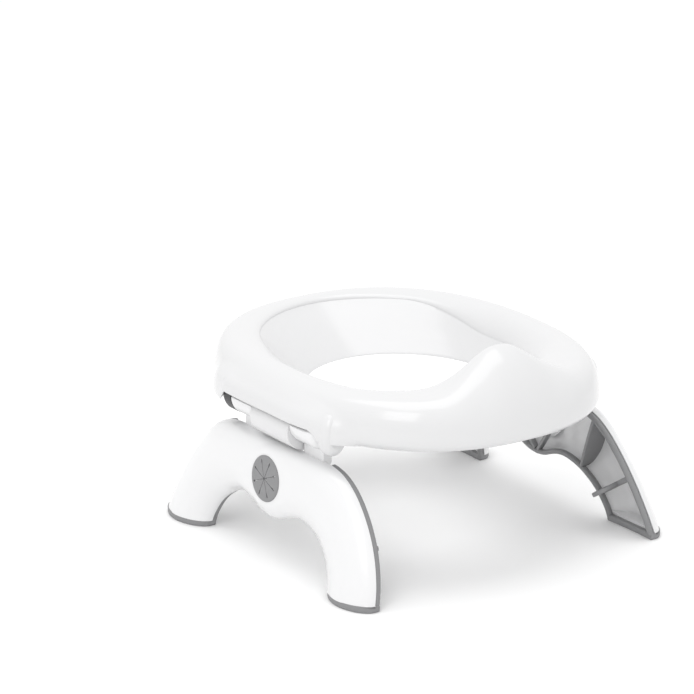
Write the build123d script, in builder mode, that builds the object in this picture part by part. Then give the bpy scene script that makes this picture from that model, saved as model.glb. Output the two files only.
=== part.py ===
"""Folding potty training chair: an oval seat on two hinged leg assemblies.

Frame: X runs from leg to leg, -Y is the front (the splash shield), +Z is up, and the origin is on the floor
under the middle of the seat. The pieces are modelled about the middle of the four feet, which stand a little
further forward, and are moved as they are written. The left half is modelled and the right half mirrors it.
"""

import os
from math import cos, pi, radians, sin

from build123d import *

os.makedirs("parts", exist_ok=True)

# ---- Seat ----
SEAT_HALF_WIDTH = 111.5
SEAT_HALF_LENGTH = 134
SEAT_CENTRE_Y = 8.5
OVAL_POWER = 2.35  # 2 would be a plain ellipse
OVAL_POINTS = 24
SEAT_TOP = 124
SEAT_WIDEST = 98.3  # height where the skirt is widest
SKIRT_BOTTOM = 93
SKIRT_TUCK = 3  # the skirt's lower edge curls in by this
ROLL_WIDTH = 17.5  # from the widest outline in to the crest
WALL = 3
BIG = 200  # reaches past the whole chair

# Funnel: height, half width, front end and back end of each level
FUNNEL = [
    (SEAT_TOP + 1, 90.5, -88, 124.5),
    (122.5, 87.5, -87.5, 121),
    (119, 84, -86, 116.5),
    (113, 79.5, -82.5, 107.5),
    (106, 74.5, -78, 97),
    (99, 69, -73, 86.5),
    (92, 63, -66, 76),
    (85, 58, -60, 66),
]

# Splash shield: height, half width, front and back of each level
SHIELD = [
    (104, 68, -121, -84),
    (114, 62, -118.5, -85),
    (124, 53, -113, -87.5),
    (131, 39, -107.5, -88),
    (138, 28, -102, -88),
    (144, 17, -97, -88),
    (148, 6, -92.5, -88.5),
]

RIB_THICKNESS = 2
RIB_BOTTOM = 108
RIB_ANGLES = (50, 70, 90, 110, 130)

# The skirt swells out over each hinge: place along Y, reach from the middle plane and half height
POD_REACH = 115.5
POD = [
    (-75, 88, 10),
    (-66, 100, 15),
    (-57, 108, 18),
    (-46, 112.5, 20),
    (-30, 115, 20),
    (0, POD_REACH, 20),
    (34, POD_REACH, 20),
    (56, 114.5, 20),
    (74, 107, 17),
    (96, 88, 10),
]
POD_HALF_WIDTH = 20
POD_INNER_X = 86  # inner wall of the box that carries the hinge

# ---- Hinge ----
HINGE_X = 100.5
HINGE_Z = 97.5
EAR_RADIUS = 13.5
EAR_CHAMFER = 4
CENTRE_RADIUS = 18.4  # the fixed centre knuckle stays inside the leg's sweep
KNUCKLE_RADIUS = 12.8
KNUCKLE_GAP = 0.4
PIN_RADIUS = 3
FRONT_EAR = (-57, -50.3)
FRONT_KNUCKLE = (-50, -23.2)
CENTRE_KNUCKLE = (-22.8, 20.2)
REAR_KNUCKLE = (20.5, 43.8)
DETENT_RING = (44.1, 52)
REAR_EAR = (52, 60)
HOOD_EDGE = 101  # lower edge of the hood over the turning knuckles
NECK_ROOM = 105  # height of the room for the necks on the inner side
PIN_PRESS = 0.02
PEG_RADIUS = 1.5
PEG_LENGTH = 3
PEG_CLEARANCE = 0.1
BUSH_RADIUS = 4.5
STOWED_ANGLE = 76
FLAT_ANGLE = 90
BALL_OFFSET = 8.7
BALL_RADIUS = 1.9
SPRING_LENGTH = 10
GROOVE_DEPTH = 1

# ---- Legs ----
LEG_TOP = 78.4
LEG_DEPTH = 17.8
LEG_WALL = 2.4
LEG_ROUNDING = 13
FOOT_INNER_Y = 69.7
FOOT_OUTER_Y = 117
FOOT_X = 109  # open inner side of the leg at the floor
LEAN_HEIGHTS = (-12, 40, 92)  # the leg's open side leans in through these heights
RIM_DEPTH = 4
RIM_WIDTH = 3.6
SOLE = 4
RAIL_INSIDE = 96.9
RAIL_OUTSIDE = 103.5
RAIL_BOTTOM = 72
WEB_ENDS = ((70, 78), (47, 28))
STRUT_ENDS = ((16, 49), (0.5, 30.5))
STRUT_DEPTH = 8
WEB_THICKNESS = 2.4
BAR_ENDS = ((106, 43.6), (62, 16.9))
BAR_THICKNESS = 3
BAR_DEPTH = 6
TAB_WIDTH = 15
TAB_LENGTH = 15.5
TAB_ROOT = 3  # the tab starts this far inside the bar
TAB_DROP = 10  # degrees that the tab points down

# ---- Slit disc ----
DISC_X = 115.9
DISC_Z = 56.5
DISC_RADIUS = 15.2
DISC_TILT = 5.7  # degrees that the disc looks up
DISC_THICKNESS = 1.6
SLIT_WIDTH = 0.35
SLIT_END = 11.5


def lean(height):
    """Distance of the leg's open inner side from the middle plane at one height."""
    return FOOT_X - 0.277 * height + 0.00157 * height**2


def oval_point(half_width, half_length, centre_y, turn):
    """One point of the seat's outline, a superellipse."""
    angle = 2 * pi * turn / OVAL_POINTS
    c, s = cos(angle), sin(angle)
    reach = (abs(c) ** OVAL_POWER + abs(s) ** OVAL_POWER) ** (-1 / OVAL_POWER)
    return (half_width * reach * c, centre_y + half_length * reach * s)


def dome_levels(inset):
    """Height and inset of the outer skin's levels, from the skirt's edge up to the crest."""
    levels = [(SKIRT_BOTTOM, SKIRT_TUCK + inset), (SKIRT_BOTTOM + 2, SKIRT_TUCK / 3 + inset)]
    for step in range(7):
        angle = radians(90 * step / 6)
        height = SEAT_WIDEST + (SEAT_TOP - inset - SEAT_WIDEST) * sin(angle)
        levels.append((height, inset + (ROLL_WIDTH - inset) * (1 - cos(angle))))
    return levels


def dome(inset):
    """Solid under the seat's outer skin, set in by the wall thickness for the hollow."""
    with BuildPart() as body:
        for height, step_in in dome_levels(inset):
            with BuildSketch(Plane.XY.offset(height)):
                with BuildLine():
                    Spline(
                        [
                            oval_point(SEAT_HALF_WIDTH - step_in, SEAT_HALF_LENGTH - step_in, SEAT_CENTRE_Y, k)
                            for k in range(OVAL_POINTS)
                        ],
                        periodic=True,
                    )
                make_face()
        loft()
    return body.part


def funnel(outset):
    """Solid that fills the seat's opening, let out by the wall thickness for the hollow."""
    with BuildPart() as body:
        for height, half_width, front, back in FUNNEL:
            with BuildSketch(Plane.XY.offset(height)):
                with Locations((0, (front + back) / 2)):
                    Ellipse(half_width + outset, (back - front) / 2 + outset)
        loft()
    return body.part


def shield(inset):
    """Solid of the splash shield, set in by the wall thickness for the hollow."""
    with BuildPart() as body:
        for height, half_width, front, back in SHIELD:
            half_depth = (back - front) / 2
            if half_depth > inset + 1:
                with BuildSketch(Plane.XY.offset(height - inset)):
                    with Locations((0, (front + back) / 2)):
                        Ellipse(half_width - inset, half_depth - inset)
        loft()
    return body.part


def pod():
    """Solid that swells out of the skirt over the left hinge."""
    with BuildPart() as body:
        for place, reach, half_height in POD:
            with BuildSketch(Plane.XZ.offset(-place)):
                with Locations((-reach + POD_HALF_WIDTH, HINGE_Z)):
                    Ellipse(POD_HALF_WIDTH, half_height)
        loft()
        add(box_between((-BIG, -BIG, SKIRT_BOTTOM), (-POD_INNER_X, BIG, BIG)), mode=Mode.INTERSECT)
    return body.part


def hinge_cylinder(radius, span):
    """Solid cylinder on the left hinge axis between two places along Y."""
    with BuildPart() as body:
        with BuildSketch(Plane.XZ.offset(-span[1])):
            with Locations((-HINGE_X, HINGE_Z)):
                Circle(radius)
        extrude(amount=span[1] - span[0])
    return body.part


def ear(span, end):
    """Fixed end ear of the hinge, chamfered at its first (0) or last (-1) end along Y."""
    with BuildPart() as body:
        add(hinge_cylinder(EAR_RADIUS, span))
        chamfer(body.edges().group_by(Axis.Y)[end], EAR_CHAMFER)
    return body.part


def box_between(low, high):
    """Solid box between two corners."""
    with BuildPart() as body:
        with BuildSketch(Plane.XY.offset(low[2])):
            with Locations(((low[0] + high[0]) / 2, (low[1] + high[1]) / 2)):
                Rectangle(high[0] - low[0], high[1] - low[1])
        extrude(amount=high[2] - low[2])
    return body.part


def centre_knuckle():
    """Fixed centre knuckle, which carries the pod's outer skin on down to the leg."""
    with BuildPart() as body:
        add(hinge_cylinder(CENTRE_RADIUS, CENTRE_KNUCKLE))
        with BuildSketch(Plane.XZ.offset(-CENTRE_KNUCKLE[1])):
            with Locations((-POD_REACH + POD_HALF_WIDTH, HINGE_Z)):
                Circle(POD_HALF_WIDTH)
        extrude(amount=CENTRE_KNUCKLE[1] - CENTRE_KNUCKLE[0], mode=Mode.INTERSECT)
    return body.part


def knuckle_room(span):
    """Room for one turning knuckle, and for its neck as the leg swings, on the left."""
    low_edge = SKIRT_BOTTOM - 18
    with BuildPart() as body:
        with BuildSketch(Plane.XZ.offset(-span[1])):
            with Locations((-HINGE_X, HINGE_Z)):
                Circle(KNUCKLE_RADIUS + KNUCKLE_GAP)
            with Locations((-HINGE_X, low_edge)):
                Rectangle(17, HOOD_EDGE - low_edge, align=(Align.MAX, Align.MIN))
                Rectangle(20, NECK_ROOM - low_edge, align=(Align.MIN, Align.MIN))
        extrude(amount=span[1] - span[0])
    return body.part


def write(part, name):
    """Move one finished piece into the chair's frame, label it and write its file."""
    moved = part.moved(Location((0, -SEAT_CENTRE_Y, 0)))
    moved.label = name
    export_step(moved, f"parts/{name}.step")


def write_pair(part, name):
    """Write the left piece and its mirror image on the right."""
    write(part, f"left_{name}")
    with BuildPart() as right:
        add(part)
        mirror(about=Plane.YZ, mode=Mode.REPLACE)
    write(right.part, f"right_{name}")


# ==== Seat shell ====
with BuildPart() as hollow:
    add(dome(WALL))
    add(shield(WALL))
    add(funnel(WALL), mode=Mode.SUBTRACT)
    add(box_between((-BIG, -BIG, 0), (BIG, BIG, SKIRT_BOTTOM - 0.5)), mode=Mode.SUBTRACT)

with BuildPart() as ribs:
    for rib_angle in RIB_ANGLES + tuple(-angle for angle in RIB_ANGLES):
        with BuildSketch(Plane.XY.offset(RIB_BOTTOM)):
            with Locations(Location((0, SEAT_CENTRE_Y), rib_angle)):
                Rectangle(BIG, RIB_THICKNESS, align=(Align.MIN, Align.CENTER))
        extrude(amount=SEAT_TOP)
    add(hollow.part, mode=Mode.INTERSECT)

# Hood, fixed centre knuckle and end ears of the left hinge
with BuildPart() as hinge_body:
    add(pod())
    add(ear(FRONT_EAR, 0))
    add(centre_knuckle())
    add(ear(REAR_EAR, -1))

with BuildPart() as hinge_room:
    add(knuckle_room((FRONT_EAR[1], CENTRE_KNUCKLE[0])))
    add(knuckle_room((CENTRE_KNUCKLE[1], REAR_EAR[0])))
    add(hinge_cylinder(PIN_RADIUS + PIN_PRESS, (FRONT_EAR[0], REAR_EAR[1])))
    with BuildSketch(Plane.XZ.offset(-REAR_EAR[0] - PEG_LENGTH - PEG_CLEARANCE)):
        with Locations((-HINGE_X, HINGE_Z + BALL_OFFSET), (-HINGE_X, HINGE_Z - BALL_OFFSET)):
            Circle(PEG_RADIUS + PEG_CLEARANCE)
    extrude(amount=PEG_LENGTH + PEG_CLEARANCE)

with BuildPart() as seat_shell:
    add(dome(0))
    add(shield(0))
    add(funnel(0), mode=Mode.SUBTRACT)
    add(hollow.part, mode=Mode.SUBTRACT)
    add(ribs.part)
    add(hinge_body.part)
    add(mirror(hinge_body.part, about=Plane.YZ))
    add(hinge_room.part, mode=Mode.SUBTRACT)
    add(mirror(hinge_room.part, about=Plane.YZ), mode=Mode.SUBTRACT)

write(seat_shell.part, "seat_shell")

# ==== Hinge pin ====
with BuildPart() as hinge_pin:
    with BuildSketch(Plane.XZ.offset(-REAR_EAR[1])):
        with Locations((-HINGE_X, HINGE_Z)):
            Circle(PIN_RADIUS)
    extrude(amount=REAR_EAR[1] - FRONT_EAR[0])
    chamfer(hinge_pin.edges(), 0.5)

write_pair(hinge_pin.part, "hinge_pin")

# ==== Detent ring ====
# The ball stands on the inner side of the axis, and turns with the leg.
BALL_PLACES = [
    (
        -HINGE_X + BALL_OFFSET * cos(radians(angle)),
        HINGE_Z + BALL_OFFSET * sin(radians(angle)),
    )
    for angle in (0, STOWED_ANGLE, -FLAT_ANGLE)
]

with BuildPart() as detent_ring:
    with BuildSketch(Plane.XZ.offset(-DETENT_RING[1])):
        with Locations((-HINGE_X, HINGE_Z)):
            Circle(KNUCKLE_RADIUS)
            Circle(PIN_RADIUS + 0.1, mode=Mode.SUBTRACT)
    extrude(amount=DETENT_RING[1] - DETENT_RING[0])
    with BuildSketch(Plane.XZ.offset(-DETENT_RING[0] - GROOVE_DEPTH)):
        with Locations((-HINGE_X, HINGE_Z)):
            Circle(BALL_OFFSET + BALL_RADIUS + 0.3)
            Circle(BALL_OFFSET - BALL_RADIUS - 0.3, mode=Mode.SUBTRACT)
    extrude(amount=GROOVE_DEPTH, mode=Mode.SUBTRACT)
    with Locations([(x, DETENT_RING[0] + 0.3, z) for x, z in BALL_PLACES]):
        Sphere(BALL_RADIUS, mode=Mode.SUBTRACT)
    with BuildSketch(Plane.XZ.offset(-DETENT_RING[1] - PEG_LENGTH)):
        with Locations((-HINGE_X, HINGE_Z + BALL_OFFSET), (-HINGE_X, HINGE_Z - BALL_OFFSET)):
            Circle(PEG_RADIUS)
    extrude(amount=PEG_LENGTH)

write_pair(detent_ring.part, "detent_ring")


# ==== Leg outline and its hollow ====
def leg_outline(inset):
    """Side view of a leg assembly: an arch with two feet and a shallow bump in its middle."""
    with BuildSketch(Plane.YZ.offset(-140)) as view:
        with BuildLine():
            bump = ThreePointArc((0, 27.2), (7.6, 28.1), (15, 30.85))
            hip = TangentArc((15, 30.85), (28, 34.5), tangent=bump % 1)
            arch = TangentArc((28, 34.5), (62, 20), tangent=hip % 1)
            TangentArc((62, 20), (FOOT_INNER_Y, 0), tangent=arch % 1)
            Line((FOOT_INNER_Y, 0), (FOOT_OUTER_Y, 0))
            ThreePointArc((FOOT_OUTER_Y, 0), (100.4, 42), (52, LEG_TOP))
            Line((52, LEG_TOP), (0, LEG_TOP))
            Line((0, LEG_TOP), (0, 27.2))
        make_face()
        fillet(view.vertices().group_by(Axis.Y)[-1].sort_by(Axis.X)[-1], 25)
        mirror(about=Plane.YZ)
        if inset:
            offset(amount=-inset, kind=Kind.INTERSECTION)
    return view.sketch


def leg_block(inset):
    """The outline, carried sideways through the whole depth of a leg."""
    with BuildPart() as body:
        extrude(leg_outline(inset), amount=55)
    return body.part


def slab(near, far):
    """Layer of the leaning leg between two depths, counted outwards from its open side."""
    heights = LEAN_HEIGHTS
    with BuildPart() as body:
        with BuildSketch(Plane.XZ.offset(-130)):
            with BuildLine():
                ThreePointArc(*[(-lean(height) - near, height) for height in heights])
                ThreePointArc(*[(-lean(height) - far, height) for height in heights])
                for height in (heights[0], heights[-1]):
                    Line((-lean(height) - near, height), (-lean(height) - far, height))
            make_face()
        extrude(amount=260)
    return body.part


def rounded_leg(inset, near, far, rounding):
    """A leg-shaped solid with its outer edges rounded over."""
    with BuildPart() as body:
        add(leg_block(inset))
        add(slab(near, far), mode=Mode.INTERSECT)
        outside = body.faces().sort_by(SortBy.AREA)[-2:].sort_by(Axis.X)[0]
        floor = outside.edges().group_by(Axis.Z)[0]
        fillet([edge for edge in outside.edges() if edge not in floor], rounding)
    return body.part


leg_envelope = rounded_leg(0, 0, LEG_DEPTH, LEG_ROUNDING)
leg_cavity = rounded_leg(LEG_WALL, -6, LEG_DEPTH - LEG_WALL, LEG_ROUNDING - LEG_WALL)
disc_plane = Plane(
    origin=(-DISC_X, 0, DISC_Z),
    x_dir=(0, -1, 0),
    z_dir=(-cos(radians(DISC_TILT)), 0, sin(radians(DISC_TILT))),
)

# ==== Leg shell ====
with BuildPart() as leg_room:
    add(leg_cavity)
    add(box_between((-BIG, -BIG, SOLE + LEG_WALL), (0, BIG, BIG)), mode=Mode.INTERSECT)
    with BuildSketch(disc_plane.offset(2)):
        Circle(DISC_RADIUS + 5)
    extrude(amount=-7, mode=Mode.SUBTRACT)

# Seat for the slit disc, thicker than the wall round it
with BuildPart() as disc_seat:
    with BuildSketch(disc_plane.offset(-1)):
        Circle(DISC_RADIUS + 5)
    extrude(amount=-4)
    add(leg_envelope, mode=Mode.INTERSECT)

with BuildPart() as leg_shell:
    add(leg_envelope)
    add(slab(RIM_DEPTH, LEG_DEPTH + 5), mode=Mode.INTERSECT)
    add(box_between((-BIG, -BIG, SOLE), (0, BIG, BIG)), mode=Mode.INTERSECT)
    add(disc_seat.part)
    add(leg_room.part, mode=Mode.SUBTRACT)
    with BuildSketch(disc_plane.offset(3)):
        Circle(DISC_RADIUS + 0.1)
    extrude(amount=-12, mode=Mode.SUBTRACT)
    with BuildSketch(disc_plane.offset(-2.4)):
        Circle(DISC_RADIUS + 2.4)
    extrude(amount=-8, mode=Mode.SUBTRACT)
    # Rail and necks that carry the two turning knuckles
    add(box_between((-RAIL_OUTSIDE, FRONT_KNUCKLE[0], RAIL_BOTTOM), (-RAIL_INSIDE, REAR_KNUCKLE[1], LEG_TOP)))
    for knuckle in (FRONT_KNUCKLE, REAR_KNUCKLE):
        add(box_between((-RAIL_OUTSIDE, knuckle[0], LEG_TOP - 2), (-RAIL_INSIDE + 1, knuckle[1], HINGE_Z)))
        add(hinge_cylinder(KNUCKLE_RADIUS, knuckle))
        add(hinge_cylinder(BUSH_RADIUS + PIN_PRESS, knuckle), mode=Mode.SUBTRACT)
    with BuildSketch(Plane.XZ.offset(-REAR_KNUCKLE[1])):
        with Locations((-HINGE_X + BALL_OFFSET, HINGE_Z)):
            Circle(BALL_RADIUS + 0.1)
    extrude(amount=SPRING_LENGTH + 4, mode=Mode.SUBTRACT)

write_pair(leg_shell.part, "leg_shell")

# ==== Soft rim and soles ====
with BuildPart() as window:
    add(leg_block(RIM_WIDTH))
    add(box_between((-BIG, -BIG, SOLE), (0, BIG, BIG)), mode=Mode.INTERSECT)

with BuildPart() as soles:
    add(leg_envelope)
    add(box_between((-BIG, -BIG, 0), (0, BIG, SOLE)), mode=Mode.INTERSECT)

with BuildPart() as leg_rim:
    add(leg_envelope)
    add(slab(0, RIM_DEPTH), mode=Mode.INTERSECT)
    add(window.part, mode=Mode.SUBTRACT)
    add(soles.part)
    # Cut away where the rail comes down into the leg
    add(
        box_between((-RAIL_OUTSIDE, FRONT_KNUCKLE[0], RAIL_BOTTOM - 3), (0, REAR_KNUCKLE[1], HINGE_Z)),
        mode=Mode.SUBTRACT,
    )

write_pair(leg_rim.part, "leg_rim")


# ==== Webs and crossbars across the leg's channel ====
def plate_between(ends, thickness, near, far):
    """Flat plate across the channel, standing on the line between two points of the side view."""
    (y1, z1), (y2, z2) = ends
    middle = ((y1 + y2) / 2, (z1 + z2) / 2)
    length = ((y2 - y1) ** 2 + (z2 - z1) ** 2) ** 0.5
    tilt = Vector(y2 - y1, z2 - z1).get_signed_angle(Vector(1, 0, 0), Vector(0, 0, -1))
    with BuildPart() as body:
        with BuildSketch(Plane.YZ.offset(-140)):
            with Locations(Location(middle, tilt)):
                Rectangle(length, thickness)
        extrude(amount=55)
        add(slab(near, far), mode=Mode.INTERSECT)
    return body.part


def across_channel(ends, thickness, depth):
    """The plate's part inside the channel: under the rim it reaches the walls, beside it the rim."""
    with BuildPart() as deep:
        add(plate_between(ends, thickness, RIM_DEPTH, depth))
        add(leg_cavity, mode=Mode.INTERSECT)
    with BuildPart() as body:
        add(plate_between(ends, thickness, 0, RIM_DEPTH))
        add(leg_block(RIM_WIDTH), mode=Mode.INTERSECT)
        add(deep.part)
    return body.part


with BuildPart() as leg_webs:
    add(across_channel(WEB_ENDS, WEB_THICKNESS, LEG_DEPTH))
    add(across_channel(STRUT_ENDS, WEB_THICKNESS, STRUT_DEPTH))
    mirror(about=Plane.XZ)

write_pair(leg_webs.part, "leg_webs")

# The tab stands inwards from the middle of the crossbar and points a little down.
bar_direction = Vector(0, BAR_ENDS[1][0] - BAR_ENDS[0][0], BAR_ENDS[1][1] - BAR_ENDS[0][1]).normalized()
bar_middle = Vector(0, (BAR_ENDS[0][0] + BAR_ENDS[1][0]) / 2, (BAR_ENDS[0][1] + BAR_ENDS[1][1]) / 2)
tab_root = Vector(-lean(bar_middle.Z), bar_middle.Y, bar_middle.Z)
tab_direction = Vector(cos(radians(TAB_DROP)), 0, -sin(radians(TAB_DROP)))
tab_plane = Plane(origin=tab_root, x_dir=bar_direction, z_dir=bar_direction.cross(tab_direction))

with BuildPart() as rear_tab:
    add(across_channel(BAR_ENDS, BAR_THICKNESS, BAR_DEPTH))
    with BuildSketch(tab_plane):
        with Locations((0, -TAB_ROOT)):
            Rectangle(TAB_WIDTH, TAB_ROOT + TAB_LENGTH - TAB_WIDTH / 2, align=(Align.CENTER, Align.MIN))
        with Locations((0, TAB_LENGTH - TAB_WIDTH / 2)):
            Circle(TAB_WIDTH / 2)
    extrude(amount=BAR_THICKNESS / 2, both=True)

with BuildPart() as front_tab:
    add(rear_tab.part)
    mirror(about=Plane.XZ, mode=Mode.REPLACE)

write_pair(rear_tab.part, "rear_tab")
write_pair(front_tab.part, "front_tab")

# ==== Slit disc and its retaining ring ====
with BuildPart() as slit_disc:
    with BuildSketch(disc_plane):
        Circle(DISC_RADIUS)
    extrude(amount=-DISC_THICKNESS)
    with BuildSketch(disc_plane.offset(-DISC_THICKNESS)):
        Circle(DISC_RADIUS)
        Circle(DISC_RADIUS - 2, mode=Mode.SUBTRACT)
    extrude(amount=-1)
    with BuildSketch(disc_plane.offset(-2.5)):
        Circle(DISC_RADIUS + 2.2)
        Circle(DISC_RADIUS - 2, mode=Mode.SUBTRACT)
    extrude(amount=-1.4)
    with BuildSketch(disc_plane.offset(1)):
        with PolarLocations(0, 8, start_angle=22.5):
            Rectangle(SLIT_END, SLIT_WIDTH, align=(Align.MIN, Align.CENTER))
        with PolarLocations(SLIT_END, 8, start_angle=22.5):
            Circle(0.7)
    extrude(amount=-5, mode=Mode.SUBTRACT)

write_pair(slit_disc.part, "slit_disc")

with BuildPart() as disc_retainer:
    with BuildSketch(disc_plane.offset(-3.95)):
        Circle(DISC_RADIUS + 2.3)
        Circle(DISC_RADIUS - 2, mode=Mode.SUBTRACT)
    extrude(amount=-1.6)

write_pair(disc_retainer.part, "disc_retainer")

# ==== Bushes in the turning knuckles ====
with BuildPart() as hinge_bushes:
    for knuckle in (FRONT_KNUCKLE, REAR_KNUCKLE):
        with BuildSketch(Plane.XZ.offset(-knuckle[1] + 0.1)):
            with Locations((-HINGE_X, HINGE_Z)):
                Circle(BUSH_RADIUS)
                Circle(PIN_RADIUS + 0.06, mode=Mode.SUBTRACT)
        extrude(amount=knuckle[1] - knuckle[0] - 0.2)

write_pair(hinge_bushes.part, "hinge_bushes")

# ==== Detent ball and spring ====
with BuildPart() as detent_ball:
    with Locations((-HINGE_X + BALL_OFFSET, REAR_KNUCKLE[1] - 1, HINGE_Z)):
        Sphere(BALL_RADIUS)

write_pair(detent_ball.part, "detent_ball")

WIRE = 0.25
COIL_RADIUS = 1.5
spring_end = REAR_KNUCKLE[1] - 1 - BALL_RADIUS - 0.1 - WIRE
coil = Helix(
    pitch=1.5,
    height=SPRING_LENGTH - 1,
    radius=COIL_RADIUS,
    center=(-HINGE_X + BALL_OFFSET, spring_end, HINGE_Z),
    direction=(0, -1, 0),
)
with BuildPart() as detent_spring:
    with BuildLine():
        add(coil)
    with BuildSketch(Plane(origin=coil @ 0, z_dir=coil % 0)):
        Circle(WIRE)
    sweep(is_frenet=True)

write_pair(detent_spring.part, "detent_spring")
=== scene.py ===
import math

import bmesh
import bpy
import numpy as np
from mathutils import Matrix, Vector


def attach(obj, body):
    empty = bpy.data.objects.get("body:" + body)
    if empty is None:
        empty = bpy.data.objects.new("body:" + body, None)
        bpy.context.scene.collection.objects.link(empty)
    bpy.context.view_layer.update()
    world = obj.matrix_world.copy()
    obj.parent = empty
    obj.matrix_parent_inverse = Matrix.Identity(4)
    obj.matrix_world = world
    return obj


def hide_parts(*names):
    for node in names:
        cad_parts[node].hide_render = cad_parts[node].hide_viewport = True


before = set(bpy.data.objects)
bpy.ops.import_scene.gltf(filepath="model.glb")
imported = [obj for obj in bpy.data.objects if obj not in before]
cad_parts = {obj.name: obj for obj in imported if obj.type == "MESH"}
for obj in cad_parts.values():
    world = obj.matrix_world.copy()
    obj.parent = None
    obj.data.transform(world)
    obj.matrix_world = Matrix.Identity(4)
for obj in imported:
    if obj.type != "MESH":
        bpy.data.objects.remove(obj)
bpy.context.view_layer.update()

# Pieces are modelled in millimetres about the middle of the four feet: -Y is the front, +Z is up.
SEAT_Y = 8.5  # the row frame's origin is this far behind the middle of the feet
HINGE_X = 100.5
HINGE_Z = 97.5
SIDES = (("left", -1), ("right", 1))


# ---- Materials ----
def material(name, colour, rough, metal=0.0, grain=900.0, depth=0.00002, spread=0.04, coat=0.0):
    """A procedural finish: fine grain in the surface and in the roughness."""
    made = bpy.data.materials.new(name)
    made.use_nodes = True
    tree = made.node_tree
    shader = tree.nodes["Principled BSDF"]
    shader.inputs["Base Color"].default_value = (*colour, 1)
    shader.inputs["Metallic"].default_value = metal
    shader.inputs["Coat Weight"].default_value = coat
    shader.inputs["Coat Roughness"].default_value = 0.12
    place = tree.nodes.new("ShaderNodeTexCoord")
    noise = tree.nodes.new("ShaderNodeTexNoise")
    noise.inputs["Scale"].default_value = grain
    noise.inputs["Detail"].default_value = 3
    tree.links.new(place.outputs["Object"], noise.inputs["Vector"])
    span = tree.nodes.new("ShaderNodeMapRange")
    span.inputs["To Min"].default_value = rough - spread
    span.inputs["To Max"].default_value = rough + spread
    tree.links.new(noise.outputs["Fac"], span.inputs["Value"])
    tree.links.new(span.outputs["Result"], shader.inputs["Roughness"])
    bump = tree.nodes.new("ShaderNodeBump")
    bump.inputs["Distance"].default_value = depth
    bump.inputs["Strength"].default_value = 0.35
    tree.links.new(noise.outputs["Fac"], bump.inputs["Height"])
    tree.links.new(bump.outputs["Normal"], shader.inputs["Normal"])
    return made


FINISH = {
    "seat_plastic": material("seat_plastic", (0.68, 0.68, 0.685), 0.20, coat=0.3),
    # The leg plastic is lighter than the seat plastic; part of that is painted light, which lightens the
    # shaded channel inside the legs
    "leg_plastic": material("leg_plastic", (0.76, 0.76, 0.765), 0.20, coat=0.3),
    "soft_grip": material("soft_grip", (0.235, 0.235, 0.24), 0.55, grain=1500.0, depth=0.00005),
    "grey_plastic": material("grey_plastic", (0.235, 0.235, 0.24), 0.5, grain=1500.0),
    "ring_plastic": material("ring_plastic", (0.035, 0.035, 0.037), 0.4),
    "bush_plastic": material("bush_plastic", (0.6, 0.58, 0.52), 0.4),
    "pin_steel": material("pin_steel", (0.6, 0.6, 0.61), 0.28, metal=1.0),
}


# ---- Mesh helpers ----
def row_frame(points):
    """Millimetres about the feet to metres in the row frame."""
    return (np.asarray(points, float) - (0, SEAT_Y, 0)) / 1000


def on_side(points, side):
    """Points of the left side as they are (side -1), or on the other side of the middle plane (side 1)."""
    return np.asarray(points, float) * (-side, 1, 1)


def add_grid(mesh, rows, loop_rows=False, loop_columns=True, caps=(False, False)):
    """Adds a grid of quads through rows of points, closed round either way, with optional flat ends."""
    rows = np.asarray(rows, float)
    count, width = rows.shape[:2]
    verts = [[mesh.verts.new(point) for point in row_frame(row)] for row in rows]
    for i in range(count if loop_rows else count - 1):
        for j in range(width if loop_columns else width - 1):
            a, b = verts[i], verts[(i + 1) % count]
            k = (j + 1) % width
            mesh.faces.new((a[j], a[k], b[k], b[j]))
    for row, wanted in zip((verts[0], verts[-1]), caps):
        if wanted:
            mesh.faces.new(row)
    return verts


def finish_piece(name, mesh, body, slot, nodes, sharp):
    """Makes the object, gives it its finish and its body, and hides the CAD nodes that it stands for."""
    bmesh.ops.recalc_face_normals(mesh, faces=mesh.faces[:])
    data = bpy.data.meshes.new(name)
    mesh.to_mesh(data)
    mesh.free()
    data.materials.append(FINISH[slot])
    data.shade_smooth()
    data.set_sharp_from_angle(angle=math.radians(sharp))
    piece = bpy.data.objects.new(name, data)
    bpy.context.scene.collection.objects.link(piece)
    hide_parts(*nodes)
    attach(piece, body)


def smooth_max(a, b, reach):
    """The larger of two values, rounded over where they are nearly the same."""
    near = np.clip(1 - np.abs(a - b) / reach, 0, 1)
    return np.maximum(a, b) + reach * near**3 / 6


def ease(value, low, high):
    """0 below low, 1 above high, and a smooth step between."""
    t = np.clip((value - low) / (high - low), 0, 1)
    return t * t * (3 - 2 * t)


def through(stops, values):
    """Smooth curve through (place, number) stops, read at values."""
    stops = np.array(sorted(stops), float)
    x, y = stops[:, 0], stops[:, 1]
    slope = np.gradient(y, x)
    values = np.clip(values, x[0], x[-1])
    i = np.clip(np.searchsorted(x, values) - 1, 0, len(x) - 2)
    step = x[i + 1] - x[i]
    t = (values - x[i]) / step
    return (
        (2 * t**3 - 3 * t**2 + 1) * y[i]
        + (t**3 - 2 * t**2 + t) * step * slope[i]
        + (3 * t**2 - 2 * t**3) * y[i + 1]
        + (t**3 - t**2) * step * slope[i + 1]
    )


# ---- Seat ----
HALF_WIDTH, HALF_LENGTH, OVAL = 111.5, 134.0, 2.35
TOP, WIDEST, BOTTOM = 124.0, 98.3, 93.0  # heights of the crest, the outline and the skirt's lower edge
ROLL, FULLNESS = 17.5, 2.5  # width and power of the outer roll from the outline up to the crest
SEAT_WALL = 3.0
HOOD_EDGE = 99.8  # height of the skirt's lower edge over the turning knuckles
HOOD_WALL = 1.2
HOOD_FRONT, HOOD_BACK = (-51, -42), (51.5, 53.5)  # where along Y that edge rises and falls
SKIRT_TOP = 112.0  # the skirt is squeezed below this height where its edge rises
POD_START, POD_END = -78, 96
COLUMNS = 320
ROLL_STEPS, INNER_ROLL_STEPS = 26, 12

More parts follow.
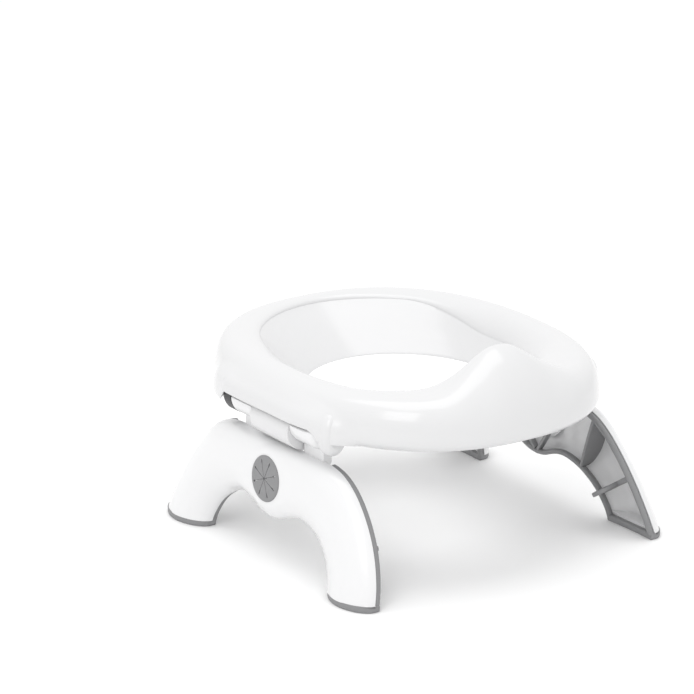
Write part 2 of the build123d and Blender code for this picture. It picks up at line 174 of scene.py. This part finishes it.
# Funnel wall: height against half width, front end and back end
FUNNEL_WIDTH = [(122.5, 87.5), (119, 84), (113, 79.5), (106, 74.5), (99, 69), (92, 63), (84, 57.5)]
FUNNEL_FRONT = [(122.5, -87.5), (119, -86), (113, -82.5), (106, -78), (99, -73), (92, -66), (84, -59.5)]
FUNNEL_BACK = [(122.5, 121), (119, 116.5), (113, 107.5), (106, 97), (99, 86.5), (92, 76), (84, 65)]
# Splash shield: place along X against the crest's height; its crest stands at this place along Y
CREST_HEIGHT = [
    (0, 148.2), (6, 147.7), (13, 144.9), (20, 140.2), (27, 135.2), (35, 130.2), (44, 126.2), (55, 124.3),
    (66, 124), (130, 124),
]
SHIELD_Y = -91
# Swelling of the skirt over each hinge: place along Y, reach from the middle plane, half height
POD_REACH = [
    (-78, 80), (-66, 100), (-57, 108), (-46, 112.5), (-30, 115), (0, 115.5), (34, 115.5), (56, 114),
    (74, 107), (96, 88),
]
POD_HEIGHT = [(-78, 10), (-66, 15), (-57, 18), (-46, 20), (56, 20), (74, 17), (96, 10)]

turn = np.linspace(0, 2 * np.pi, COLUMNS, endpoint=False)
cos_turn, sin_turn = np.cos(turn), np.sin(turn)
oval_reach = (np.abs(cos_turn) ** OVAL + np.abs(sin_turn) ** OVAL) ** (-1 / OVAL)


def oval_row(inset, height):
    """Points round the seat's outline, set in by inset."""
    x = (HALF_WIDTH - inset) * oval_reach * cos_turn
    y = SEAT_Y + (HALF_LENGTH - inset) * oval_reach * sin_turn
    return np.stack([x, y, np.full(COLUMNS, float(height))], 1)


def funnel_row(height, outset):
    """Points round the funnel wall at one height, or at each column's own height."""
    width = through(FUNNEL_WIDTH, height) + outset
    front = through(FUNNEL_FRONT, height) - outset
    back = through(FUNNEL_BACK, height) + outset
    x = width * cos_turn
    y = (front + back) / 2 + (back - front) / 2 * sin_turn
    return np.stack([x, y, np.broadcast_to(height, COLUMNS)], 1)


# Where each column's crest lies: set in from the outline, and further in where the shield stands
front_reach = np.where(sin_turn < 0, oval_reach * -sin_turn, 0.01)
crest_inset = smooth_max(np.full(COLUMNS, ROLL), HALF_LENGTH + (SHIELD_Y - SEAT_Y) / front_reach, 4.0)
crest_x = np.abs((HALF_WIDTH - crest_inset) * oval_reach * cos_turn)
crest_top = np.where(sin_turn < 0, through(CREST_HEIGHT, crest_x), TOP)
fullness = FULLNESS - 0.75 * ease(crest_top, TOP, 140)
# The funnel's upper edge is crisp at the back and under the shield, and soft at the two sides
softness = (1 - ease(sin_turn, 0.1, 0.75)) * (1 - ease(-sin_turn, 0.45, 0.9))
funnel_top = 120.5 - 11 * softness


def roll_rows(inset, steps):
    """Rows of the outer roll from its widest line up to the crest."""
    rows = []
    for angle in np.linspace(0, np.pi / 2, steps):
        rise = math.sin(angle) ** (2 / fullness)
        step_in = inset + (crest_inset - inset) * (1 - math.cos(angle) ** (2 / fullness))
        row = oval_row(step_in, 0)
        row[:, 2] = WIDEST + (crest_top - inset - WIDEST) * rise
        rows.append(row)
    return rows


def crest_rows(drop, outset, steps):
    """Rows from the crest in to the funnel's rounded upper edge."""
    start = oval_row(crest_inset, 0)
    end = funnel_row(funnel_top - drop / 2, outset)
    rows = []
    for t in np.sin(np.linspace(0, np.pi / 2, steps + 1)[1:]):
        row = start + (end - start) * t
        bend = 1 - (1 - t ** (2.6 - 0.9 * softness)) ** (0.5 + 0.25 * softness)
        row[:, 2] = crest_top - drop - (crest_top - funnel_top - drop / 2) * bend
        rows.append(row)
    return rows


def shape_seat(rows, skin, outside):
    """Swells the outside rows of the skirt over the hinges; skin is the depth under the outer surface."""
    x, y, z = rows[..., 0], rows[..., 1], rows[..., 2]
    reach = through(POD_REACH, y) - np.where(np.abs(y) < 52, min(skin, HOOD_WALL), skin)
    height = through(POD_HEIGHT, y)
    swell = reach - 20 + 20 * np.sqrt(np.clip(1 - ((z - HINGE_Z) / height) ** 2, 0, 1))
    swelling = (np.abs(z - HINGE_Z) < height) & (y > POD_START) & (y < POD_END) & outside[:, None]
    x = np.where(swelling, np.sign(x) * smooth_max(np.abs(x), swell, 5.0), x)
    # The skirt's lower edge rises over the turning knuckles
    side = ease(np.abs(x), 84, 92)
    lift = (HOOD_EDGE - BOTTOM) * side * np.sqrt(ease(y, *HOOD_FRONT)) * (1 - ease(y, *HOOD_BACK))
    squeeze = (SKIRT_TOP - BOTTOM - lift) / (SKIRT_TOP - BOTTOM)
    z = np.where(z < SKIRT_TOP, SKIRT_TOP - (SKIRT_TOP - z) * squeeze, z)
    return np.stack([x, y, z], -1)


edge = [
    oval_row(5.4, 94.0), oval_row(4.9, 93.2), oval_row(4.0, 93.0), oval_row(3.1, 93.3), oval_row(2.2, 94.0),
    oval_row(1.2, 95.2), oval_row(0.4, 96.8),
]
outer = edge + roll_rows(0, ROLL_STEPS) + crest_rows(0, 0, 26)
outer += [funnel_row(funnel_top + (93.6 - funnel_top) * t, 0) for t in np.linspace(0.04, 1, 24)]
outer += [funnel_row(93.1, 0.3), funnel_row(92.8, 1.0), funnel_row(92.9, 1.9), funnel_row(93.5, 2.7)]
inner = [funnel_row(95 + (funnel_top - 3 - 95) * t, SEAT_WALL) for t in np.linspace(0, 1, 12)]
inner += crest_rows(SEAT_WALL, SEAT_WALL, 14)[::-1][1:] + roll_rows(SEAT_WALL, INNER_ROLL_STEPS)[::-1]
inner += [oval_row(4.2, 96.2)]

seat_mesh = bmesh.new()
outer_side = np.arange(len(outer)) < len(edge) + ROLL_STEPS
inner_side = np.arange(len(inner)) >= len(inner) - (INNER_ROLL_STEPS + 1)
skin_rows = np.concatenate([
    shape_seat(np.array(outer), 0, outer_side), shape_seat(np.array(inner), SEAT_WALL, inner_side)
])
add_grid(seat_mesh, skin_rows, loop_rows=True)


def barrel(mesh, radius, start, end, round_start, round_end, side, narrow=1.0, relief=0.0):
    """Round solid on the hinge axis with rounded ends; side is -1 for the left hinge.

    narrow scales its width, and relief is taken off its upper outer quarter, which stands under the hood.
    """
    quarter = np.linspace(0, np.pi / 2, 7)
    profile = [(start, 0.01)]
    profile += [
        (start + round_start * (1 - math.cos(a)), radius - round_start * (1 - math.sin(a))) for a in quarter
    ]
    profile += [
        (end - round_end * (1 - math.cos(a)), radius - round_end * (1 - math.sin(a))) for a in quarter[::-1]
    ]
    profile += [(end, 0.01)]
    around = np.linspace(0, 2 * np.pi, 72, endpoint=False)
    degrees = np.degrees(around)
    cut = relief * ease(degrees, 2, 12) * (1 - ease(degrees, 150, 175))
    rows = []
    for place, size in profile:
        size = np.maximum(size - cut, 0.01)
        x = side * HINGE_X + side * size * narrow * np.cos(around)
        z = HINGE_Z + size * np.sin(around)
        rows.append(np.stack([x, np.full(len(around), place), z], 1))
    add_grid(mesh, rows, caps=(True, True))


def rounded_bar(mesh, section, start, end, edge_round, side):
    """Section of (reach, height) points carried along Y, with its two end edges rounded over."""
    section = np.array(section, float)
    centre = section.mean(0)
    rows = []
    for angle in np.linspace(0, np.pi / 2, 5):
        shrink = edge_round * (1 - math.sin(angle))
        rows.append((start + edge_round * (1 - math.cos(angle)), shrink))
    rows += [(end - place + start, shrink) for place, shrink in rows[::-1]]
    grid = []
    for place, shrink in rows:
        out = section - centre
        out = centre + out * (1 - shrink / np.linalg.norm(out, axis=1))[:, None]
        grid.append(np.stack([side * out[:, 0], np.full(len(out), place), out[:, 1]], 1))
    add_grid(mesh, grid, caps=(True, True))


# Fixed centre knuckle: the hood's outer wall carried on down and rounded under
centre_section = [
    (84, 93), (84, 104), (108.5, 103), (110.6, 100.4), (112.4, 98.3), (113.8, 96), (114.6, 93.2),
    (114.5, 90), (113.6, 86.9), (112.0, 84.2), (109.5, 81.5), (106.5, 79.6), (103, 78.4), (99, 78.0),
    (95, 78.6), (91, 80.5), (87.5, 84), (85, 89),
]
for _, side in SIDES:
    rounded_bar(seat_mesh, centre_section, -22.8, 20.2, 0.7, side)
    # Front and rear ear
    barrel(seat_mesh, 14.8, -59, -50.3, 7, 0.3, side, narrow=0.66)
    barrel(seat_mesh, 13.4, 52.3, 61, 0.3, 6.5, side, narrow=0.8)

finish_piece("seat_skin", seat_mesh, "seat", "seat_plastic", ["seat_shell"], sharp=42)


# ---- Legs ----
LEG_TOP = 77.2
LEG_DEPTH = 17.8  # from the open side to the outermost line
RIM_DEPTH = 4.0
SOLE = 4.0
LEG_WALL = 2.4
KNUCKLES = ((-50, -23.2), (20.5, 43.8))  # ends along Y of the front and the rear turning knuckle
KNUCKLE_RADIUS, KNUCKLE_RELIEF = 12.7, 4.2
NECK_LOW, NECK_HIGH = (95.5, 74), (102.2, 92)  # corners of a neck, as (reach from the middle, height)
DISC = Vector((116.2, 0, 55.2))  # middle of the right slit disc
DISC_TILT = math.radians(5.7)
HALF_STEPS = 90
# Side view from the foot to the middle, as (share of the way, place along Y, height) stops
ARCH = [
    (0, 69.7, 0), (0.12, 68.4, 8.5), (0.25, 62.6, 19.2), (0.4, 52.2, 28.0), (0.55, 40.5, 33.0),
    (0.7, 28, 34.5), (0.82, 17.4, 31.9), (0.91, 8.4, 28.4), (1, 0, 27.2),
]
CREST = [
    (0, 117, 0), (0.14, 112.6, 17.5), (0.27, 104.6, 35.6), (0.4, 93.0, 52.5), (0.52, 79.0, 66.4),
    (0.62, 66.0, 73.9), (0.72, 52, 76.8), (0.82, 34, LEG_TOP), (0.91, 17, LEG_TOP), (1, 0, LEG_TOP),
]


def lean(height):
    """Distance of the leg's open side from the middle plane."""
    return 109 - 0.277 * height + 0.00157 * height**2


def half_contour(stops, share):
    """Points of one contour from the foot (share 0) to the middle (share 1)."""
    y = through([(stop, place) for stop, place, height in stops], share)
    z = through([(stop, height) for stop, place, height in stops], share)
    return y, z


half = np.linspace(0, 1, HALF_STEPS)
share = np.concatenate([half, half[-2::-1]])
facing = np.concatenate([np.full(HALF_STEPS, -1.0), np.full(HALF_STEPS - 1, 1.0)])  # front foot first
arch_y, arch_z = half_contour(ARCH, share)
crest_y, crest_z = half_contour(CREST, share)
arch_y, crest_y = arch_y * facing, crest_y * facing


def contour_normals(y, z):
    """Unit normals of a contour in the side view, to the left of its direction."""
    dy, dz = np.gradient(y), np.gradient(z)
    size = np.hypot(dy, dz)
    return -dz / size, dy / size


arch_ny, arch_nz = contour_normals(arch_y, arch_z)
crest_ny, crest_nz = contour_normals(crest_y, crest_z)


def section_depth(inset):
    """Places across the rounded D section and its depth there; its corners are tighter near the middle."""
    angle = np.linspace(0, np.pi, 46)[None, :]
    power = 1.78 + np.where(angle < np.pi / 2, 0.6, 1.8) * ease(share, 0.4, 0.9)[:, None]
    across = -np.sign(np.cos(angle)) * np.abs(np.cos(angle)) ** (2 / power)
    bulge = np.sin(angle) ** (2 / power)
    return across, RIM_DEPTH + (LEG_DEPTH - inset - RIM_DEPTH) * bulge


def flatten_disc(points, offset):
    """Draws the skin to the slit disc's flat seat."""
    normal = np.array([-math.cos(DISC_TILT), 0, math.sin(DISC_TILT)])
    centre = np.array([-DISC.x, DISC.y, DISC.z]) - normal * offset
    away = points - centre
    height = away @ normal
    radius = np.linalg.norm(away - height[..., None] * normal, axis=-1)
    pull = (1 - ease(radius, 16.5, 23)) * (np.abs(height) < 6)
    return points - (height * pull)[..., None] * normal


def leg_skin(inset):
    """One skin of the leg shell as a grid of points."""
    across, depth = section_depth(inset)
    ay, az = arch_y + arch_ny * inset, arch_z + arch_nz * inset
    cy, cz = crest_y - crest_ny * inset, crest_z - crest_nz * inset
    t = (across + 1) / 2
    y = ay[:, None] + (cy - ay)[:, None] * t
    z = az[:, None] + (cz - az)[:, None] * t
    floor = SOLE + (LEG_WALL if inset else 0)
    z = floor + smooth_max(z - floor, np.zeros_like(z), 0.5)
    return flatten_disc(np.stack([-(lean(z) + depth), y, z], -1), 0.4 + inset)


def sweep(mesh, path, across, outward, section):
    """Carries a closed section along a path; section points are (across, outward) pairs."""
    section = np.array(section, float)
    shift_across = section[None, :, :1] * across[:, None, :]
    shift_outward = section[None, :, 1:] * outward[:, None, :]
    add_grid(mesh, path[:, None, :] + shift_across + shift_outward, caps=(True, True))


def rounded_box_section(low, high, radius):
    """Closed rounded rectangle between two corners."""
    points = []
    for cx, cy, first in (
        (high[0] - radius, high[1] - radius, 0), (low[0] + radius, high[1] - radius, 90),
        (low[0] + radius, low[1] + radius, 180), (high[0] - radius, low[1] + radius, 270),
    ):
        for angle in np.radians(np.linspace(first, first + 90, 4)):
            points.append((cx + radius * math.cos(angle), cy + radius * math.sin(angle)))
    return points


def bead(mesh, y, z, ny, nz, side):
    """Soft rim along one stretch of a contour, on the inner side of its normals."""
    path = np.stack([side * lean(z), y, z], -1)
    across = np.stack([np.zeros_like(ny), ny, nz], -1)
    outward = np.tile((side * 1.0, 0, 0), (len(y), 1))
    sweep(mesh, path, across, outward, rounded_box_section((0.2, -0.2), (3.6, 4.1), 1.5))


SOLE_LEVELS = (  # height, and how far the sole's outline is drawn in there
    (0.01, 2.2), (0.0, 1.5), (0.25, 0.95), (0.8, 0.65), (1.4, 0.6), (3.9, 0.6), (4.3, 0.9), (4.4, 1.5),
)
FLAPS = 8
FLAP_PROFILE = (  # radius, and half the slit's width there: each slit ends in a small hole
    (0.25, 0.17), (1.5, 0.17), (3, 0.17), (5, 0.17), (7, 0.17), (9, 0.17), (11.2, 0.62), (11.9, 0.62),
    (13, 0), (14.2, 0), (14.9, 0), (15.2, 0),
)
FLAP_THICKNESS = 1.6
# The flat middle of this dark sheet is painted shade behind the slits; its rim from radius 13 to 15.2 is
# the disc's real flange
FLANGE_AND_SHADE_SHEET = (  # radius, and level over the disc's middle
    (0.2, -0.6), (15.0, -0.6), (15.2, -0.8), (15.0, -2.6), (13, -2.6), (12.8, -0.9), (0.2, -0.9),
)


def add_sole(mesh, foot, side):
    """Soft sole under one foot; foot is the row of the leg's skin that ends there."""
    across, depth = section_depth(0)
    t = (across[foot] + 1) / 2
    y = arch_y[foot] + (crest_y[foot] - arch_y[foot]) * t
    outline = np.concatenate([
        np.stack([-(lean(2) + depth[foot]), y], 1),
        np.stack([np.full(12, -lean(2)), np.linspace(y[-1], y[0], 12)], 1),
    ])
    middle = outline.mean(0)
    out = outline - middle
    length = np.linalg.norm(out, axis=1)[:, None]
    grid = []
    for height, shrink in SOLE_LEVELS:
        level = middle + out * (1 - shrink / length)
        grid.append(np.stack([level[:, 0] * -side, level[:, 1], np.full(len(level), height)], 1))
    add_grid(mesh, grid, caps=(True, True))


def disc_points(side, radius, level, angles):
    """Points round the slit disc at a radius, and at a level over its middle."""
    normal = np.array([side * math.cos(DISC_TILT), 0, math.sin(DISC_TILT)])
    along = np.array([0.0, 1.0, 0.0])
    rise = np.cross(normal, along)
    centre = np.array([side * DISC.x, DISC.y, DISC.z])
    return [
        centre + along * radius * math.cos(a) + rise * radius * math.sin(a) + normal * level for a in angles
    ]


def add_flap(mesh, flap, side):
    """One flap of the slit disc, with a skirt that gives it its thickness."""
    mid = 2 * math.pi * (flap + 1) / FLAPS
    grid = []
    for radius, gap in FLAP_PROFILE:
        spread = math.pi / FLAPS - math.asin(min(gap / radius, 0.7))
        top = 0.9 - 0.002 * radius**2 - 0.5 * max(0, radius - 14.2) ** 2
        grid.append(disc_points(side, radius, top, np.linspace(mid - spread, mid + spread, 9)))
    verts = add_grid(mesh, grid, loop_columns=False)
    skirt = list(verts[0]) + [row[-1] for row in verts[1:]] + verts[-1][-2::-1]
    skirt += [row[0] for row in verts[-2:0:-1]]
    normal = Vector((side * math.cos(DISC_TILT), 0, math.sin(DISC_TILT)))
    low = [mesh.verts.new(v.co - normal * FLAP_THICKNESS / 1000) for v in skirt]
    for i in range(len(skirt)):
        j = (i + 1) % len(skirt)
        mesh.faces.new((skirt[i], skirt[j], low[j], low[i]))


outer_skin, inner_skin = leg_skin(0), leg_skin(LEG_WALL)
for name, side in SIDES:
    body = f"{name}_legs"

    # White shell with its two turning knuckles
    mesh = bmesh.new()
    rows = np.concatenate([outer_skin, inner_skin[:, ::-1]], 1)
    add_grid(mesh, on_side(rows, side))
    for row in (0, -1):
        # Closed foot: its underside, its inner floor and the strip between them along the open side
        below, above = on_side(outer_skin[row], side), on_side(inner_skin[row], side)
        add_grid(mesh, [below], caps=(True, False))
        add_grid(mesh, [above], caps=(True, False))
        add_grid(mesh, [[below[0], below[-1]], [above[0], above[-1]]], loop_columns=False)
    neck = rounded_box_section(NECK_LOW, NECK_HIGH, 2.2)
    for (start, end), end_round, neck_gap in zip(KNUCKLES, (8, 0.7), (4.5, 0.5)):
        barrel(mesh, KNUCKLE_RADIUS, start, end, end_round, 0.7, side, relief=KNUCKLE_RELIEF)
        rounded_bar(mesh, neck, start + neck_gap, end - 0.5, 0.8, side)
    finish_piece(f"{name}_leg_skin", mesh, body, "leg_plastic", [f"{name}_leg_shell"], sharp=45)

    # Soft rim and soles
    mesh = bmesh.new()
    keep = arch_z > 1.5
    bead(mesh, arch_y[keep], arch_z[keep], arch_ny[keep], arch_nz[keep], side)
    for front in (True, False):
        pick = (crest_z > 1.5) & ((crest_y < -51) if front else (crest_y > 60))
        bead(mesh, crest_y[pick], crest_z[pick], -crest_ny[pick], -crest_nz[pick], side)
        add_sole(mesh, 0 if front else len(share) - 1, side)
    finish_piece(f"{name}_soft_rim", mesh, body, "soft_grip", [f"{name}_leg_rim"], sharp=60)

    # Slit disc: eight flaps over a thin dark sheet of painted shade, so that the slits read as dark cuts;
    # the sheet's deeper rim is the disc's flange
    mesh = bmesh.new()
    for flap in range(FLAPS):
        add_flap(mesh, flap, side)
    around = np.linspace(0, 2 * np.pi, 64, endpoint=False)
    flange_and_shade_sheet = [disc_points(side, radius, level, around) for radius, level in FLANGE_AND_SHADE_SHEET]
    add_grid(mesh, flange_and_shade_sheet, caps=(True, True))
    finish_piece(f"{name}_slit_flaps", mesh, body, "grey_plastic", [f"{name}_slit_disc"], sharp=40)


# ---- Webs, crossbars and tabs inside the legs ----
def plate(mesh, outline, normal, thickness, edge, side):
    """Flat plate through a convex outline with its edges rounded over, mirrored for the right leg."""
    outline = np.array(outline, float)
    middle = outline.mean(0)
    out = outline - middle
    length = np.linalg.norm(out, axis=1)[:, None]
    grid = []
    for angle in np.linspace(-90, 90, 9):
        turned = math.radians(angle)
        shrink = edge * (1 - math.cos(turned))
        level = (thickness / 2 - edge) * np.sign(angle) + edge * math.sin(turned)
        grid.append(middle + out * (1 - shrink / length) + np.asarray(normal) * level)
    add_grid(mesh, on_side(grid, side), caps=(True, True))


def channel_outline(start, end, deep, power):
    """Outline of a plate across the left leg's channel: straight at the open side, rounded at the wall."""
    start, end = np.array(start, float), np.array(end, float)
    points = []
    for t in np.linspace(0, 1, 14):
        y, z = start + (end - start) * t
        points.append((-(lean(z) + 0.4), y, z))
    for t in np.linspace(0.98, 0.02, 20):
        y, z = start + (end - start) * t
        bulge = (1 - abs(2 * t - 1) ** power) ** (1 / power)
        points.append((-(lean(z) + 1.5 + (deep - 1.5) * bulge), y, z))
    return points


def way_and_normal(start, end):
    """Direction from start to end in the side view, and the normal beside it."""
    way = np.array([0, end[0] - start[0], end[1] - start[1]], float)
    way /= np.linalg.norm(way)
    return way, np.cross(way, (1, 0, 0))


# Ends of the rear pieces in the side view, as (place along Y, height)
WEB = ((48.9, 32.5), (66.2, 70.2))
STRUT = ((1.6, 31.0), (15, 47))
BAR = ((64.6, 18.5), (98.6, 39.1))
WEB_THICKNESS, BAR_THICKNESS = 2.2, 3
TAB_WIDTH, TAB_LENGTH, TAB_THICKNESS, TAB_DROP = 15.0, 15.5, 3, math.radians(10)

for name, side in SIDES:
    body = f"{name}_legs"
    mesh = bmesh.new()
    for face in (-1, 1):
        for (start, end), deep, power in ((WEB, 15.8, 2.3), (STRUT, 4.5, 5)):
            start, end = (start[0] * face, start[1]), (end[0] * face, end[1])
            normal = way_and_normal(start, end)[1]
            plate(mesh, channel_outline(start, end, deep, power), normal, WEB_THICKNESS, 0.5, side)
    finish_piece(f"{name}_leg_ribs", mesh, body, "grey_plastic", [f"{name}_leg_webs"], sharp=60)
    for end_name, face in (("front", -1), ("rear", 1)):
        mesh = bmesh.new()
        start, end = (BAR[0][0] * face, BAR[0][1]), (BAR[1][0] * face, BAR[1][1])
        way, normal = way_and_normal(start, end)
        plate(mesh, channel_outline(start, end, 6, 8), normal, BAR_THICKNESS, 0.6, side)
        root_z = (start[1] + end[1]) / 2
        root = np.array([-lean(root_z) - 1.0, (start[0] + end[0]) / 2, root_z])
        down = normal if normal[2] < 0 else -normal
        reach = np.array([math.cos(TAB_DROP), 0, 0]) + down * math.sin(TAB_DROP)
        outline = [root - way * TAB_WIDTH / 2, root + way * TAB_WIDTH / 2]
        tip = root + reach * (TAB_LENGTH + 1 - TAB_WIDTH / 2)
        for angle in np.linspace(0, np.pi, 19):
            outline.append(tip + TAB_WIDTH / 2 * (way * math.cos(angle) + reach * math.sin(angle)))
        plate(mesh, outline, np.cross(way, reach), TAB_THICKNESS, 0.8, side)
        node = f"{name}_{end_name}_tab"
        finish_piece(f"{name}_{end_name}_locator", mesh, body, "grey_plastic", [node], sharp=60)


# ---- Finish of the frame's own pieces, shown or replaced ----
SLOTS = {
    "seat_shell": "seat_plastic",
    "leg_shell": "leg_plastic",
    "leg_rim": "soft_grip",
    "leg_webs": "grey_plastic",
    "rear_tab": "grey_plastic",
    "front_tab": "grey_plastic",
    "slit_disc": "grey_plastic",
    "disc_retainer": "leg_plastic",
    "detent_ring": "ring_plastic",
    "hinge_bushes": "bush_plastic",
    "hinge_pin": "pin_steel",
    "detent_ball": "pin_steel",
    "detent_spring": "pin_steel",
}
for node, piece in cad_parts.items():
    kind = node.removeprefix("left_").removeprefix("right_")
    piece.data.materials.clear()
    piece.data.materials.append(FINISH[SLOTS[kind]])


# ---- Floor, light and camera ----
def plain(name, colour, rough):
    """A plain finish for the studio."""
    made = bpy.data.materials.new(name)
    made.use_nodes = True
    made.node_tree.nodes["Principled BSDF"].inputs["Base Color"].default_value = (*colour, 1)
    made.node_tree.nodes["Principled BSDF"].inputs["Roughness"].default_value = rough
    return made


bpy.ops.mesh.primitive_plane_add(size=30)
floor = bpy.context.object
floor.name = "studio_floor"
floor.data.materials.append(plain("studio_floor", (0.93, 0.93, 0.93), 0.8))

world = bpy.data.worlds.new("studio")
bpy.context.scene.world = world
world.use_nodes = True
world.node_tree.nodes["Background"].inputs["Color"].default_value = (1, 1, 1, 1)
world.node_tree.nodes["Background"].inputs["Strength"].default_value = 1.0


def softbox(name, place, target, size, power):
    """A square soft light that looks at the target."""
    light = bpy.data.lights.new(name, "AREA")
    light.shape = "RECTANGLE"
    light.size, light.size_y = size
    light.energy = power
    lamp = bpy.data.objects.new(name, light)
    bpy.context.scene.collection.objects.link(lamp)
    lamp.location = place
    lamp.rotation_euler = (Vector(target) - Vector(place)).to_track_quat("-Z", "Y").to_euler()


softbox("overhead", (0.0, 0.1, 1.7), (0, 0, 0.1), (1.6, 1.2), 8.0)
softbox("key", (-1.1, -0.7, 1.1), (0, 0, 0.08), (0.7, 0.9), 4.0)

# The camera looks down at the chair from its front left, with a long lens
CAMERA_DISTANCE, CAMERA_RIGHT, CAMERA_UP = 2.6117, -0.04284, 0.11595
azimuth, elevation = math.radians(-34.9195), math.radians(18.16746)
back = Vector(
    (math.sin(azimuth) * math.cos(elevation), -math.cos(azimuth) * math.cos(elevation), math.sin(elevation))
)
right = Vector((math.cos(azimuth), math.sin(azimuth), 0))
up = back.cross(right)
camera = bpy.data.objects.new("camera", bpy.data.cameras.new("camera"))
bpy.context.scene.collection.objects.link(camera)
placed = Matrix((right, up, back)).transposed().to_4x4()
placed.translation = CAMERA_RIGHT * right + CAMERA_UP * up + CAMERA_DISTANCE * back
placed.translation -= Vector((0, SEAT_Y / 1000, 0))
camera.matrix_world = placed
camera.data.lens = 205.11
camera.data.sensor_width = 36
camera.data.clip_end = 50
bpy.context.scene.camera = camera
bpy.context.scene.view_settings.view_transform = "Standard"
